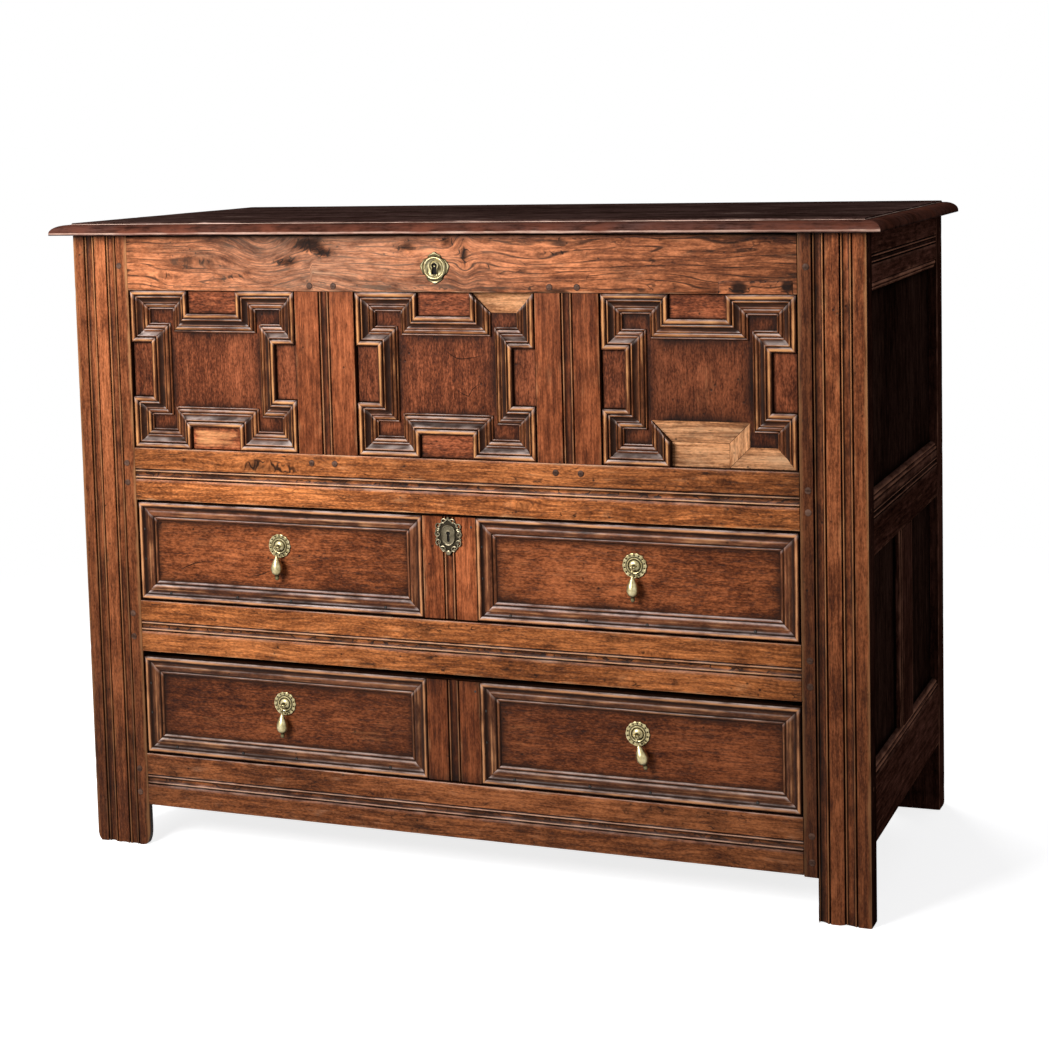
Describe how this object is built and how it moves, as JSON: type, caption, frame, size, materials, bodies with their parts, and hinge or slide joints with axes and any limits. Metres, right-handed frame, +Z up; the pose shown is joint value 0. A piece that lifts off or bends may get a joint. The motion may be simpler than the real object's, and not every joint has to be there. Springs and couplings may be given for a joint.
{
  "type": "wooden_coffer",
  "caption": "Joined oak coffer with drawers: hinged thumbnail-moulded lid over a panelled well, geometric mitred panels, moulded long drawers with brass drop pulls, stile feet",
  "frame": {"origin": "Middle of the footprint of the whole part, lid overhangs included, on the floor.", "axes": "+X along the front to the viewer's right (longest extent), -Y out of the front, +Z up from the floor to the lid."},
  "size_m": [1.268, 0.6, 0.9643],
  "materials": {
    "frame_oak": "old waxed oak, worn to a lighter brown on its edges",
    "panel_oak": "dark red-brown waxed oak",
    "lid_oak": "very dark waxed oak, slightly glossy",
    "drawer_oak": "waxed oak, worn on the beads",
    "inside_oak": "dry unfinished oak",
    "old_brass": "tarnished cast brass",
    "hinge_iron": "forged iron, dull"
  },
  "bodies": {
    "carcase": {"stile_front_left": "frame_oak", "stile_front_right": "frame_oak", "stile_back_left": "frame_oak", "stile_back_right": "frame_oak", "front_top_rail": "frame_oak", "front_middle_rail": "frame_oak", "front_drawer_rail": "frame_oak", "front_bottom_rail": "frame_oak", "front_muntin_left": "frame_oak", "front_muntin_right": "frame_oak", "front_panel_left": "panel_oak", "front_panel_centre": "panel_oak", "front_panel_right": "panel_oak", "side_top_rail_left": "frame_oak", "side_middle_rail_left": "frame_oak", "side_bottom_rail_left": "frame_oak", "side_muntin_left": "frame_oak", "side_upper_panel_left": "panel_oak", "side_lower_panel_front_left": "panel_oak", "side_lower_panel_back_left": "panel_oak", "side_top_rail_right": "frame_oak", "side_middle_rail_right": "frame_oak", "side_bottom_rail_right": "frame_oak", "side_muntin_right": "frame_oak", "side_upper_panel_right": "panel_oak", "side_lower_panel_front_right": "panel_oak", "side_lower_panel_back_right": "panel_oak", "back_board_upper": "inside_oak", "back_board_lower": "inside_oak", "well_floor": "inside_oak", "runner_upper_left": "inside_oak", "runner_upper_right": "inside_oak", "runner_lower_left": "inside_oak", "runner_lower_right": "inside_oak", "hinge_leaf_left": "hinge_iron", "hinge_leaf_right": "hinge_iron", "lid_lock_plate": "old_brass"},
    "lid": {"lid_board_front": "lid_oak", "lid_board_back": "lid_oak", "hinge_strap_left": "hinge_iron", "hinge_strap_right": "hinge_iron"},
    "drawer_upper": {"drawer_upper_front": "drawer_oak", "drawer_upper_side_left": "inside_oak", "drawer_upper_side_right": "inside_oak", "drawer_upper_back": "inside_oak", "drawer_upper_bottom": "inside_oak", "drawer_key_plate": "old_brass", "pull_plate_upper_left": "old_brass", "pull_plate_upper_right": "old_brass"},
    "drawer_lower": {"drawer_lower_front": "drawer_oak", "drawer_lower_side_left": "inside_oak", "drawer_lower_side_right": "inside_oak", "drawer_lower_back": "inside_oak", "drawer_lower_bottom": "inside_oak", "pull_plate_lower_left": "old_brass", "pull_plate_lower_right": "old_brass"},
    "drop_upper_left": {"pull_drop_upper_left": "old_brass"},
    "drop_upper_right": {"pull_drop_upper_right": "old_brass"},
    "drop_lower_left": {"pull_drop_lower_left": "old_brass"},
    "drop_lower_right": {"pull_drop_lower_right": "old_brass"}
  },
  "joints": [
    {"name": "lid_hinge", "type": "hinge", "parent": "carcase", "child": "lid", "pos_m": [0, 0.29395, 0.9413], "axis": [-1, 0, 0], "range_deg": [0, 100]},
    {"name": "drawer_upper_slide", "type": "slide", "parent": "carcase", "child": "drawer_upper", "axis": [0, -1, 0], "range_m": [0, 0.4]},
    {"name": "drawer_lower_slide", "type": "slide", "parent": "carcase", "child": "drawer_lower", "axis": [0, -1, 0], "range_m": [0, 0.4]},
    {"name": "drop_upper_left_hinge", "type": "hinge", "parent": "drawer_upper", "child": "drop_upper_left", "pos_m": [-0.278, -0.2738, 0.4805], "axis": [-1, 0, 0], "range_deg": [0, 80]},
    {"name": "drop_upper_right_hinge", "type": "hinge", "parent": "drawer_upper", "child": "drop_upper_right", "pos_m": [0.278, -0.2738, 0.4805], "axis": [-1, 0, 0], "range_deg": [0, 80]},
    {"name": "drop_lower_left_hinge", "type": "hinge", "parent": "drawer_lower", "child": "drop_lower_left", "pos_m": [-0.278, -0.2738, 0.2405], "axis": [-1, 0, 0], "range_deg": [0, 80]},
    {"name": "drop_lower_right_hinge", "type": "hinge", "parent": "drawer_lower", "child": "drop_lower_right", "pos_m": [0.278, -0.2738, 0.2405], "axis": [-1, 0, 0], "range_deg": [0, 80]}
  ]
}
